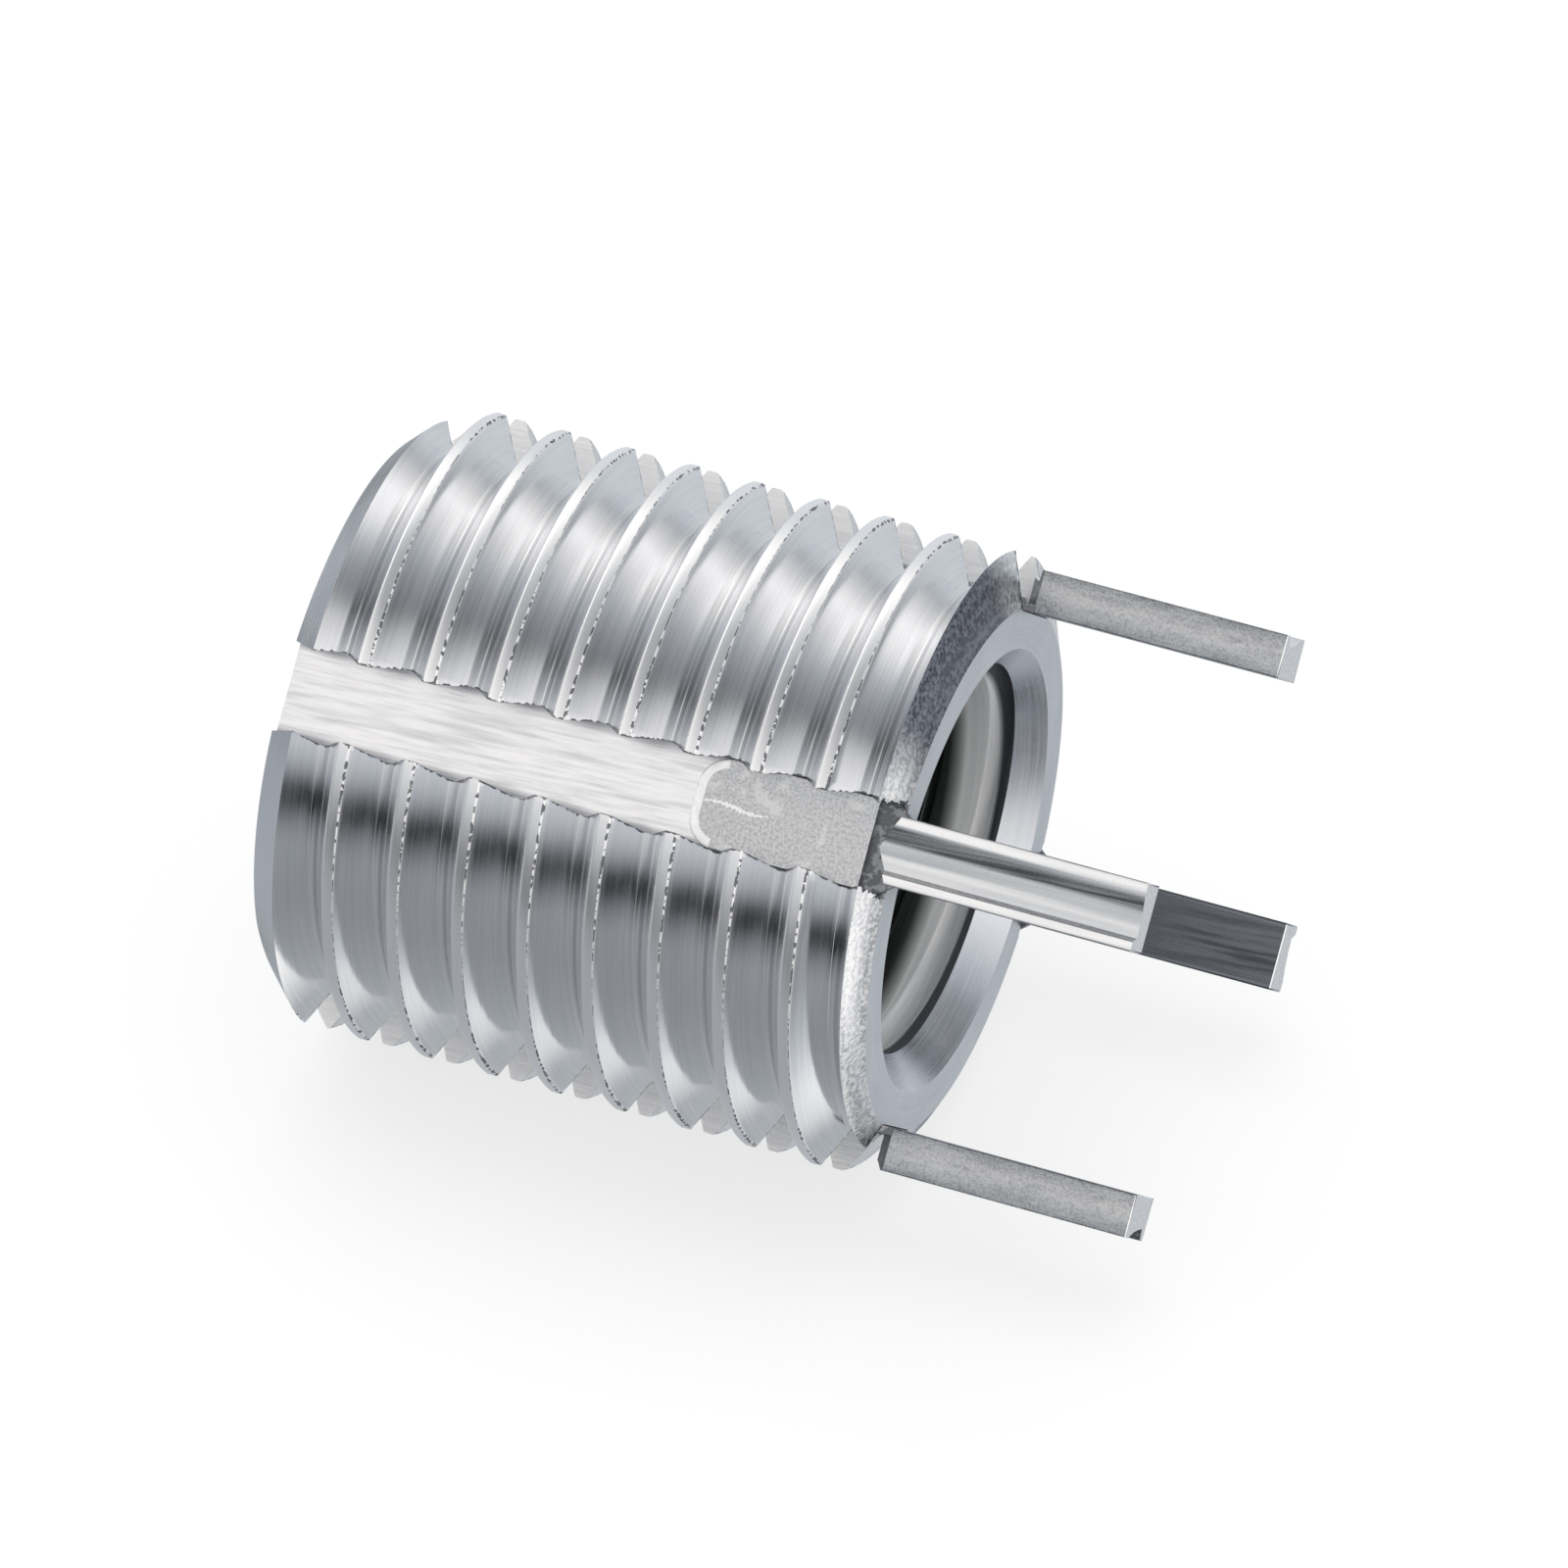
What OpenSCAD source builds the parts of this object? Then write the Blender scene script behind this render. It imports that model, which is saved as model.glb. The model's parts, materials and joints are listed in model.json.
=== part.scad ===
// Key-locking threaded insert: a hollow body threaded outside, with four dovetail slots along it,
// and four locking keys whose feet are staked into the slots at the key end.
// The body stands on its plain end at z = 0, its axis is Z and the keys point up.

/* [Body] */
// Length of the body, from its plain end to its key end
body_len = 14; // [8:0.5:24]
// Diameter of the bore, at the crests of the inner thread
bore_d = 8.5; // [5:0.1:12]
// Thickness of the sleeve, from the bore to the crests of the outer thread
sleeve_wall = 2.725; // [2.2:0.025:4]
// Depth of the countersink at each mouth of the bore, measured towards the outer thread
mouth_depth = 0.68; // [0.3:0.02:0.9]
// Pitch of the outer thread
thread_pitch = 1.5; // [1:0.25:2]
// Angle between the two flanks of either thread
flank_angle = 60; // [55:5:70]
// Width of the flat on each crest
crest_flat = 0.24; // [0.1:0.02:0.3]
// Width of the flat in each root
root_flat = 0.18; // [0.1:0.02:0.3]

/* [Inner thread] */
// Pitch of the inner thread
inner_pitch = 1.5; // [1.25:0.25:1.75]
// Width of the flat on each crest of the inner thread, wide enough to keep most of the bore's wall
inner_crest_flat = 0.9; // [0.8:0.02:1]
// Width of the flat in each root of the inner thread
inner_root_flat = 0.16; // [0.1:0.02:0.22]

/* [Body ends] */
// Length along the axis of the chamfer at the key end
key_chamfer_len = 0.55; // [0.2:0.05:1]
// Depth towards the axis of the chamfer at the key end
key_chamfer_depth = 1.14; // [0.4:0.02:1.3]
// Length along the axis of the chamfer at the plain end
plain_chamfer_len = 0.85; // [0.4:0.05:1.5]
// Depth towards the axis of the chamfer at the plain end
plain_chamfer_depth = 0.85; // [0.4:0.05:1.3]

/* [Slots] */
// Width of each slot where it opens at the crests
slot_mouth_w = 1.68; // [1.2:0.02:2.2]
// Width of each slot at its floor
slot_floor_w = 2.1; // [1.7:0.02:2.6]
// Depth of each slot below the crests
slot_depth = 1.27; // [1:0.01:1.35]

/* [Keys] */
// Length of each key that stands out past the key end
key_reach = 5.75; // [3:0.25:9]
// Thickness of the part of each key that stands out
blade_t = 0.95; // [0.7:0.01:1.2]
// Width of the ridge on each side of the channel along the outer face of each key
channel_edge = 0.24; // [0.14:0.02:0.4]
// Depth of that channel
channel_depth = 0.33; // [0.1:0.01:0.44]
// Length of the foot of each key, which guides it along its slot below the roots of the thread
foot_len = 4; // [2:0.05:6]
// Thickness of the foot
foot_t = 0.3; // [0.22:0.01:0.33]
// Distance from the end of the foot to the key end of the body
foot_setback = 0.56; // [0.3:0.02:0.8]
// Length of the rounded tip of the foot
foot_tip_len = 0.62; // [0.3:0.02:1.2]
// Length of the notch between the foot and the cutting edge of the blade, at the sides of the key
notch_len = 0.73; // [0.5:0.01:1]
// Length of that notch at the middle of the key, where the cutting edge comes to a point
notch_waist = 0.36; // [0.1:0.01:0.48]
// Thickness of the web under the notch, which joins foot and blade
web_t = 0.17; // [0.1:0.01:0.2]
// Length of the web that is as wide as the foot, before it narrows to the blade
web_len = 0.4; // [0.1:0.02:0.48]

/* [Fits] */
// Clearance between each key and the floor of its slot
floor_gap = 0.02; // [0.01:0.01:0.05]
// Clearance between the staked foot and each side of its slot
side_gap = 0.02; // [0.01:0.01:0.05]
// Clearance between the part of each key that stands out and each side of its slot's mouth
blade_gap = 0.09; // [0.04:0.01:0.2]

/* [Hidden] */
NODES = ["threaded_body", "locking_key_1", "locking_key_2", "locking_key_3", "locking_key_4"];
key_count = len(NODES) - 1;
key_1_angle = -90;

// Bore and mouths, whose countersinks slope at 45 degrees
bore_r = bore_d / 2;
mouth_r = bore_r + mouth_depth;
mouth_len = mouth_depth;

// Outer thread: the crest is the outside, and the depth follows from pitch, flats and flank angle
crest_r = bore_r + sleeve_wall;
thread_depth = (thread_pitch - crest_flat - root_flat) / (2 * tan(flank_angle / 2));
root_r = crest_r - thread_depth;
flank_len = thread_depth * tan(flank_angle / 2);
// Low enough that the thread runs past the plain end, with the middle of a crest at z = 0 on the -X side
thread_start = -thread_pitch - root_flat - flank_len - crest_flat / 2;

// Inner thread: a tap cuts its grooves, and what is left of the bore's wall between them is its crests
inner_depth = (inner_pitch - inner_crest_flat - inner_root_flat) / (2 * tan(flank_angle / 2));
inner_root_r = bore_r + inner_depth;
// The tap's own roots lie inside the bore, where its flanks are half a crest apart
tap_root_flat = inner_crest_flat / 2;
tap_root_r = bore_r - tap_root_flat / (2 * tan(flank_angle / 2));
tap_flank_len = (inner_pitch - tap_root_flat - inner_root_flat) / 2;
// Low enough that the tap runs past the plain end, with the last crest starting at the end of the upper
// countersink on the +Y side, so that a whole groove shows below it there
tap_rounds = ceil(body_len / inner_pitch) + 1;
tap_start = body_len - mouth_len - (tap_rounds - 0.25) * inner_pitch
    + (inner_crest_flat - tap_root_flat) / 2;

// Slots and keys, measured from the axis
slot_floor_r = crest_r - slot_depth;
key_inner_r = slot_floor_r + floor_gap;
blade_w = slot_mouth_w - 2 * blade_gap;
blade_outer_r = key_inner_r + blade_t;
channel_w = blade_w - 2 * channel_edge;
foot_outer_r = key_inner_r + foot_t;
foot_top = body_len - foot_setback;
foot_bottom = foot_top - foot_len;
web_outer_r = key_inner_r + web_t;
key_top = body_len + key_reach;

// How far a cutting shape runs past what it cuts
past = 1;

// Half the width of a slot at a distance from the axis
function slot_half(r) = let (slope = (slot_floor_w - slot_mouth_w) / 2 / slot_depth)
    slot_mouth_w / 2 + slope * (crest_r - r);

// One pitch of a thread as [radius, height], from the start of a root to the end of a crest
function thread_profile(root_r, crest_r, root_flat, flank_len, crest_flat) = [
    [root_r, 0],
    [root_r, root_flat],
    [crest_r, root_flat + flank_len],
    [crest_r, root_flat + flank_len + crest_flat]
];

// A right-handed thread as one closed column, longer than the body at both ends
module thread_column(profile, pitch, start, steps) {
    corners = len(profile);
    turns = ceil((body_len - start) / pitch) + 1;
    last_step = turns * steps;
    // A corner of the profile after some steps of the helix, which starts on the -X side
    function thread_point(i, j) = let (a = 180 + 360 * i / steps)
        [profile[j][0] * cos(a), profile[j][0] * sin(a), start + pitch * i / steps + profile[j][1]];
    points = [
        for (i = [0:last_step]) for (j = [0:corners - 1]) thread_point(i, j),
        [0, 0, start],
        [0, 0, start + pitch * (turns + 1)]
    ];
    bottom = corners * (last_step + 1);
    top = bottom + 1;
    // The next corner of the profile, which after the last is the first one a turn higher
    function at(i, j) = j < corners ? corners * i + j : corners * (i + steps);
    bands = [
        for (i = [0:last_step - 1]) for (j = [0:corners - 1])
            if (j < corners - 1 || i + 1 + steps <= last_step)
                each [[at(i, j), at(i, j + 1), at(i + 1, j + 1)], [at(i, j), at(i + 1, j + 1), at(i + 1, j)]]
    ];
    bottom_rim = [
        for (i = [0:steps]) at(i, 0),
        for (j = [corners - 1:-1:1]) at(0, j)
    ];
    top_rim = [
        for (i = [last_step:-1:last_step - steps]) at(i, corners - 1),
        for (j = [0:corners - 2]) at(last_step, j)
    ];
    bottom_fan = [for (k = [0:len(bottom_rim) - 1])
        [bottom, bottom_rim[k], bottom_rim[(k + 1) % len(bottom_rim)]]];
    top_fan = [for (k = [0:len(top_rim) - 1])
        [top, top_rim[k], top_rim[(k + 1) % len(top_rim)]]];
    polyhedron(points, concat(bands, bottom_fan, top_fan), convexity = 10);
}

module outer_thread() {
    outline = thread_profile(root_r, crest_r, root_flat, flank_len, crest_flat);
    thread_column(outline, thread_pitch, thread_start, steps = 48);
}

module inner_tap() {
    outline = thread_profile(tap_root_r, inner_root_r, tap_root_flat, tap_flank_len, inner_root_flat);
    thread_column(outline, inner_pitch, tap_start, steps = 36);
}

// The body's outer form without thread or slots, with the chamfers that cut the first and last threads
module body_envelope() {
    rotate_extrude($fn = 96) polygon([
        [0, 0],
        [crest_r - plain_chamfer_depth, 0],
        [crest_r + past, plain_chamfer_len * (1 + past / plain_chamfer_depth)],
        [crest_r + past, body_len - key_chamfer_len * (1 + past / key_chamfer_depth)],
        [crest_r - key_chamfer_depth, body_len],
        [0, body_len]
    ]);
}

// A tapped hole along the whole axis, with a countersunk mouth at both ends
module bore() {
    inner_tap();
    translate([0, 0, -past]) cylinder(r = bore_r, h = body_len + 2 * past, $fn = 96);
    for (end = [0, 1]) translate([0, 0, end * body_len]) mirror([0, 0, end])
        translate([0, 0, -past]) cylinder(r1 = mouth_r + past, r2 = bore_r, h = mouth_len + past, $fn = 96);
}

// A dovetail slot along the whole body, on the +Y side
module slot() {
    outside_r = crest_r + past;
    translate([0, 0, -past]) linear_extrude(body_len + 2 * past) polygon([
        [-slot_half(slot_floor_r), slot_floor_r],
        [slot_half(slot_floor_r), slot_floor_r],
        [slot_half(outside_r), outside_r],
        [-slot_half(outside_r), outside_r]
    ]);
}

// Turns a shape from the +Y side to the side of key k, counted from 1
module at_key(k) {
    rotate([0, 0, key_1_angle - 90 + (k - 1) * 360 / key_count]) children();
}

module threaded_body() {
    color("lightsteelblue") difference() {
        intersection() {
            outer_thread();
            body_envelope();
        }
        bore();
        for (k = [1:key_count]) at_key(k) slot();
    }
}

// Cross-section of the part that stands out: a flat bar with a shallow channel along its outer face
module blade_section() {
    corner = channel_w / 5;
    difference() {
        translate([-blade_w / 2, key_inner_r]) square([blade_w, blade_t]);
        polygon([
            [-channel_w / 2, blade_outer_r + past],
            [-channel_w / 2, blade_outer_r],
            [-channel_w / 2 + corner, blade_outer_r - channel_depth],
            [channel_w / 2 - corner, blade_outer_r - channel_depth],
            [channel_w / 2, blade_outer_r],
            [channel_w / 2, blade_outer_r + past]
        ]);
    }
}

// Outline of the foot seen along a radius, with its rounded tip downwards
module foot_outline() {
    half = slot_half(key_inner_r);
    tip_top = foot_bottom + foot_tip_len;
    translate([-half, tip_top]) square([2 * half, foot_top - tip_top]);
    intersection() {
        translate([-half, foot_bottom]) square([2 * half, foot_top - foot_bottom]);
        translate([0, tip_top]) scale([half, foot_tip_len]) circle(r = 1, $fn = 48);
    }
}

// The foot fills its slot from side to side, held by the dovetail
module foot() {
    intersection() {
        linear_extrude(foot_top) polygon([
            [-slot_half(key_inner_r) + side_gap, key_inner_r],
            [slot_half(key_inner_r) - side_gap, key_inner_r],
            [slot_half(foot_outer_r) - side_gap, foot_outer_r],
            [-slot_half(foot_outer_r) + side_gap, foot_outer_r]
        ]);
        translate([0, foot_outer_r + past, 0]) rotate([90, 0, 0])
            linear_extrude(foot_outer_r + past) foot_outline();
    }
}

// The web runs on from the foot under the notch, and narrows to the width of the blade
module web() {
    half = slot_half(web_outer_r) - side_gap;
    translate([0, web_outer_r, 0]) rotate([90, 0, 0]) linear_extrude(web_t) polygon([
        [-half, foot_top - web_t],
        [half, foot_top - web_t],
        [half, foot_top + web_len],
        [blade_w / 2, foot_top + notch_len],
        [-blade_w / 2, foot_top + notch_len],
        [-half, foot_top + web_len]
    ]);
}

// The blade seen along a radius: its lower end is a cutting edge that comes to a point at the middle
module blade_outline() {
    polygon([
        [0, foot_top + notch_waist],
        [blade_w / 2, foot_top + notch_len],
        [blade_w / 2, key_top],
        [-blade_w / 2, key_top],
        [-blade_w / 2, foot_top + notch_len]
    ]);
}

module locking_key(k) {
    color("silver") at_key(k) {
        foot();
        web();
        intersection() {
            translate([0, 0, foot_top]) linear_extrude(key_top - foot_top) blade_section();
            translate([0, blade_outer_r, 0]) rotate([90, 0, 0]) linear_extrude(blade_t) blade_outline();
        }
    }
}

threaded_body();
for (k = [1:key_count]) locking_key(k);
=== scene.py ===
# A key-locking threaded insert: a threaded sleeve with four keys in its slots, on a white table
import json
import math
import random

import bpy
from mathutils import Matrix, Vector

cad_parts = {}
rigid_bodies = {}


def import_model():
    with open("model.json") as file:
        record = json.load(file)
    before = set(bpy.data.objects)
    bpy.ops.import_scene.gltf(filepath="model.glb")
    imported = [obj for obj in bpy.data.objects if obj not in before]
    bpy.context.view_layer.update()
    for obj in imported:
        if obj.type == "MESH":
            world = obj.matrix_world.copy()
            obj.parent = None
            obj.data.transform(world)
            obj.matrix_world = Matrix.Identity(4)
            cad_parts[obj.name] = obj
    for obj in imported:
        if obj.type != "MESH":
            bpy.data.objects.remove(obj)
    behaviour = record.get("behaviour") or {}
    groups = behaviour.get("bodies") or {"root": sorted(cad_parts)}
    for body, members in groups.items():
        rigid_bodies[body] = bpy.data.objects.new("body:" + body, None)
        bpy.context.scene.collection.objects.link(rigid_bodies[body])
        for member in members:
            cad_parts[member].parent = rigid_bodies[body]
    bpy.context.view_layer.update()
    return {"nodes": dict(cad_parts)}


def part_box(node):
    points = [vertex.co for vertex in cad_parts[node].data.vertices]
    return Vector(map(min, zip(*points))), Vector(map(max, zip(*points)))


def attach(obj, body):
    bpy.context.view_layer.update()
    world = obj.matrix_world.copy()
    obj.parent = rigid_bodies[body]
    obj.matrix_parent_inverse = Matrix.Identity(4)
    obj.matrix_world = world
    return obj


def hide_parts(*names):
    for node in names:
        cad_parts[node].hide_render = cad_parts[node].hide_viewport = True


bpy.ops.object.select_all(action="SELECT")
bpy.ops.object.delete()  # what a new file starts with
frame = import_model()
mm = 0.001
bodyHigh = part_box("threaded_body")[1]
keyLow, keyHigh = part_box("locking_key_1")  # this key is on the -Y side
bodyLength = bodyHigh.z
print("frame loaded:", len(frame["nodes"]), "nodes")


# Camera, turned about its own line of sight because the insert lies on its side in the picture
cameraSizes = {
    "focalLength": 462.4,
    "sensorWidth": 36.0,
    "distance": 434.0 * mm,
    "azimuth": math.radians(0.26),
    "elevation": math.radians(15.72),
    "roll": math.radians(105.13),
    "target": Vector((-0.787, 0.0, 9.59)) * mm,
}


def addCamera(sizes):
    away = Vector((
        math.sin(sizes["azimuth"]) * math.cos(sizes["elevation"]),
        -math.cos(sizes["azimuth"]) * math.cos(sizes["elevation"]),
        math.sin(sizes["elevation"]),
    ))
    place = sizes["target"] + away * sizes["distance"]
    bpy.ops.object.camera_add(location=place)
    camera = bpy.context.active_object
    camera.name = "camera"
    upright = (-away).to_track_quat("-Z", "Y").to_matrix()
    camera.rotation_euler = (upright @ Matrix.Rotation(sizes["roll"], 3, "Z")).to_euler()
    camera.data.lens = sizes["focalLength"]
    camera.data.sensor_width = sizes["sensorWidth"]
    camera.data.clip_start = 10 * mm
    camera.data.clip_end = 20
    bpy.context.scene.camera = camera


addCamera(cameraSizes)
print("camera placed")


# Small helpers for modelling by hand
def deselectAll():
    if bpy.context.object and bpy.context.object.mode != "OBJECT":
        bpy.ops.object.mode_set(mode="OBJECT")
    bpy.ops.object.select_all(action="DESELECT")


def named(name):
    piece = bpy.context.active_object
    piece.name = name
    piece.data.name = name
    return piece


def makeActive(piece):
    deselectAll()
    piece.select_set(True)
    bpy.context.view_layer.objects.active = piece


def applyPlace(piece):
    makeActive(piece)
    bpy.ops.object.transform_apply(location=True, rotation=True, scale=True)


def editAll(piece, kind="VERT"):
    makeActive(piece)
    bpy.ops.object.mode_set(mode="EDIT")
    bpy.ops.mesh.select_mode(type=kind)
    bpy.ops.mesh.select_all(action="SELECT")


# Opens edit mode with only the points, edges or faces that pass the test selected
def pick(piece, kind, test):
    editAll(piece, kind)
    bpy.ops.mesh.select_all(action="DESELECT")
    bpy.ops.object.mode_set(mode="OBJECT")
    mesh = piece.data
    if kind == "FACE":
        for face in mesh.polygons:
            face.select = test(face.center, face.normal)
    if kind == "EDGE":
        for edge in mesh.edges:
            ends = [mesh.vertices[i].co for i in edge.vertices]
            edge.select = test((ends[0] + ends[1]) / 2, (ends[1] - ends[0]).normalized())
    if kind == "VERT":
        for point in mesh.vertices:
            point.select = test(point.co)
    bpy.ops.object.mode_set(mode="EDIT")


def done():
    bpy.ops.object.mode_set(mode="OBJECT")


def modify(piece, kind, **settings):
    makeActive(piece)
    modifier = piece.modifiers.new(kind.title(), kind)
    for name, value in settings.items():
        setattr(modifier, name, value)
    bpy.ops.object.modifier_apply(modifier=modifier.name)


def combine(piece, tool, operation):
    modify(piece, "BOOLEAN", object=tool, operation=operation, solver="MANIFOLD")
    bpy.data.objects.remove(tool, do_unlink=True)


def tidyFaces(piece, turnOut=True):
    editAll(piece)
    bpy.ops.mesh.remove_doubles(threshold=0.0005 * mm)
    bpy.ops.mesh.dissolve_degenerate(threshold=0.0002 * mm)
    bpy.ops.mesh.select_all(action="SELECT")
    bpy.ops.mesh.delete_loose()
    if turnOut:
        bpy.ops.mesh.select_all(action="SELECT")
        bpy.ops.mesh.normals_make_consistent(inside=False)
    done()


# The sleeve: two threads, two mouths, two chamfers and four slots
slotMouth = 1.68 * mm
bodySizes = {
    # The sleeve meets its box at the slots' edges, so the crests between them reach a little further out
    "crestRadius": math.hypot(bodyHigh.x, slotMouth / 2),
    "threadPitch": 1.5 * mm,
    "flankSlope": math.tan(math.radians(30)),
    "crestFlat": 0.24 * mm,
    "rootFlat": 0.18 * mm,
    "crestRound": 0.035 * mm,
    "rootRound": 0.09 * mm,
    "stepsPerTurn": 240,
    "boreRadius": 4.25 * mm,
    "boreCrestFlat": 0.9 * mm,
    "boreRootFlat": 0.16 * mm,
    "mouthRadius": 4.93 * mm,
    "keyEndRingRadius": 5.835 * mm,
    "keyChamferLength": 0.55 * mm,
    "plainRingRadius": 6.125 * mm,
    "plainChamferLength": 0.85 * mm,
    "slotMouthWidth": slotMouth,
    "slotFloorWidth": 2.1 * mm,
    "slotDepth": 1.27 * mm,
    "past": 0.3 * mm,  # how far a cutting shape reaches past what it cuts
}

# How much wider half a slot gets with its depth
slotSlope = (bodySizes["slotFloorWidth"] - bodySizes["slotMouthWidth"]) / 2 / bodySizes["slotDepth"]


# A closed column with a helical thread. The outline is a chain of (radius, height) corners over one pitch,
# and rounds says which of them are rounded, and by which size
def threadColumn(name, outline, rounds, sizes):
    pitch = sizes["threadPitch"]
    turns = math.ceil(bodyLength / pitch) + 4
    start = -pitch * 2 - outline[0][1]
    bpy.ops.mesh.primitive_plane_add(size=mm, location=(-outline[0][0], 0, start))
    column = named(name)
    applyPlace(column)
    editAll(column)
    bpy.ops.mesh.merge(type="CENTER")
    for here, there in zip(outline, outline[1:]):
        step = (here[0] - there[0], 0, there[1] - here[1])
        bpy.ops.mesh.extrude_vertices_move(TRANSFORM_OT_translate={"value": step})
    for index, kind in rounds.items():
        corner = Vector((-outline[index][0], 0, start + outline[index][1] - outline[0][1]))
        pick(column, "VERT", lambda p: (p - corner).length < 0.001 * mm)
        bpy.ops.mesh.bevel(affect="VERTICES", offset=sizes[kind], segments=3, clamp_overlap=False)
    done()
    modify(column, "SCREW", axis="Z", angle=math.tau, screw_offset=pitch, iterations=turns,
           steps=sizes["stepsPerTurn"], render_steps=sizes["stepsPerTurn"],
           use_merge_vertices=False, use_smooth_shade=True)
    tidyFaces(column)
    middle = sum(point.co.z for point in column.data.vertices) / len(column.data.vertices)
    for low in (True, False):  # closes the lower end, then the upper one
        editAll(column)
        bpy.ops.mesh.select_all(action="DESELECT")
        bpy.ops.mesh.select_non_manifold()
        done()
        for point in column.data.vertices:
            point.select = point.select and (point.co.z < middle) == low
        for edge in column.data.edges:
            edge.select = all(column.data.vertices[i].select for i in edge.vertices) and edge.select
        bpy.ops.object.mode_set(mode="EDIT")
        bpy.ops.mesh.extrude_edges_move()
        bpy.ops.mesh.merge(type="CENTER")
    done()
    tidyFaces(column)
    return column


def outerThreadColumn(sizes):
    depth = (sizes["threadPitch"] - sizes["crestFlat"] - sizes["rootFlat"]) / 2 / sizes["flankSlope"]
    crest = sizes["crestRadius"]
    root = crest - depth
    rise = depth * sizes["flankSlope"]
    foot = sizes["threadPitch"] / 2  # the middle of a root, half a pitch from a crest
    outline = [
        (root, foot),
        (root, foot + sizes["rootFlat"] / 2),
        (crest, foot + sizes["rootFlat"] / 2 + rise),
        (crest, foot + sizes["rootFlat"] / 2 + rise + sizes["crestFlat"]),
        (root, foot + sizes["rootFlat"] / 2 + 2 * rise + sizes["crestFlat"]),
        (root, foot + sizes["threadPitch"]),
    ]
    rounds = {1: "rootRound", 2: "crestRound", 3: "crestRound", 4: "rootRound"}
    return threadColumn("outerThread", outline, rounds, sizes)


def boreThreadColumn(sizes):
    flat = sizes["boreCrestFlat"]
    rise = (sizes["threadPitch"] - flat - sizes["boreRootFlat"]) / 2
    crest = sizes["boreRadius"]
    root = crest + rise / sizes["flankSlope"]
    # The last crest starts at the end of the upper countersink on the +Y side
    low = -(bodyLength - sizes["mouthRadius"] + crest + sizes["threadPitch"] / 4) % sizes["threadPitch"]
    outline = [
        (crest, low),
        (crest, low + flat),
        (root, low + flat + rise),
        (root, low + sizes["threadPitch"] - rise),
        (crest, low + sizes["threadPitch"]),
    ]
    rounds = {1: "crestRound", 2: "crestRound", 3: "crestRound"}
    return threadColumn("boreThread", outline, rounds, sizes)


# The sleeve without threads: a round bar whose two ends are drawn out and narrowed into chamfers
def sleeveEnvelope(sizes):
    past = sizes["past"]
    keyRun = sizes["keyChamferLength"] / (sizes["crestRadius"] - sizes["keyEndRingRadius"])
    plainRun = sizes["plainChamferLength"] / (sizes["crestRadius"] - sizes["plainRingRadius"])
    outside = sizes["crestRadius"] + past
    top = bodyLength - keyRun * (outside - sizes["keyEndRingRadius"])
    bottom = plainRun * (outside - sizes["plainRingRadius"])
    bpy.ops.mesh.primitive_cylinder_add(vertices=sizes["stepsPerTurn"], radius=outside,
                                        depth=top - bottom, location=(0, 0, (top + bottom) / 2))
    bar = named("sleeveEnvelope")
    applyPlace(bar)
    for side, radius, run in ((1, sizes["keyEndRingRadius"], bodyLength - top),
                              (-1, sizes["plainRingRadius"], bottom)):
        pick(bar, "FACE", lambda middle, normal: normal.z * side > 0.9)
        bpy.ops.mesh.extrude_region_move(TRANSFORM_OT_translate={"value": (0, 0, side * run)})
        bpy.ops.transform.resize(value=(radius / outside, radius / outside, 1))
    done()
    return bar


# One cone for each mouth of the bore, a little longer than the countersink that it cuts
def mouthCone(sizes, side):
    past = sizes["past"]
    depth = sizes["mouthRadius"] - sizes["boreRadius"]
    wide, narrow = sizes["mouthRadius"] + past, sizes["boreRadius"] - past
    end = bodyLength if side > 0 else 0
    radii = (narrow, wide) if side > 0 else (wide, narrow)
    bpy.ops.mesh.primitive_cone_add(vertices=sizes["stepsPerTurn"], radius1=radii[0], radius2=radii[1],
                                    depth=depth + 2 * past, location=(0, 0, end - side * depth / 2))
    cone = named("mouthCone")
    applyPlace(cone)
    return cone


# Four dovetail slots along the whole sleeve, as bars to cut with
def slotBars(sizes):
    past = sizes["past"]
    floor = sizes["crestRadius"] - sizes["slotDepth"]
    outside = sizes["crestRadius"] + past
    outsideWidth = sizes["slotMouthWidth"] - 2 * slotSlope * past
    bars = []
    for turn in range(4):
        bpy.ops.mesh.primitive_cube_add(size=1, location=(0, (floor + outside) / 2, bodyLength / 2))
        bar = named("slotBar")
        bar.scale = (sizes["slotFloorWidth"], outside - floor, bodyLength + 2 * past)
        applyPlace(bar)
        pick(bar, "FACE", lambda middle, normal: normal.y > 0.9)
        bpy.ops.transform.resize(value=(outsideWidth / sizes["slotFloorWidth"], 1, 1))
        done()
        bar.rotation_euler.z = turn * math.pi / 2
        applyPlace(bar)
        bars.append(bar)
    makeActive(bars[0])
    for bar in bars:
        bar.select_set(True)
    bpy.ops.object.join()
    return bars[0]


# The sleeve with its threads, mouths and slots
def threadedSleeve(sizes):
    sleeve = outerThreadColumn(sizes)
    combine(sleeve, sleeveEnvelope(sizes), "INTERSECT")
    combine(sleeve, boreThreadColumn(sizes), "DIFFERENCE")
    for side in (1, -1):
        combine(sleeve, mouthCone(sizes, side), "DIFFERENCE")
    combine(sleeve, slotBars(sizes), "DIFFERENCE")
    tidyFaces(sleeve, turnOut=False)
    makeActive(sleeve)
    bpy.ops.object.shade_smooth_by_angle(angle=math.radians(32))
    modify(sleeve, "WEIGHTED_NORMAL", mode="FACE_AREA_WITH_ANGLE", weight=80, keep_sharp=True)
    sleeve.name = sleeve.data.name = "threadedSleeve"
    return sleeve


sleeve = threadedSleeve(bodySizes)
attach(sleeve, "root")
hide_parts("threaded_body")
print("sleeve modelled:", len(sleeve.data.polygons), "faces")

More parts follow.
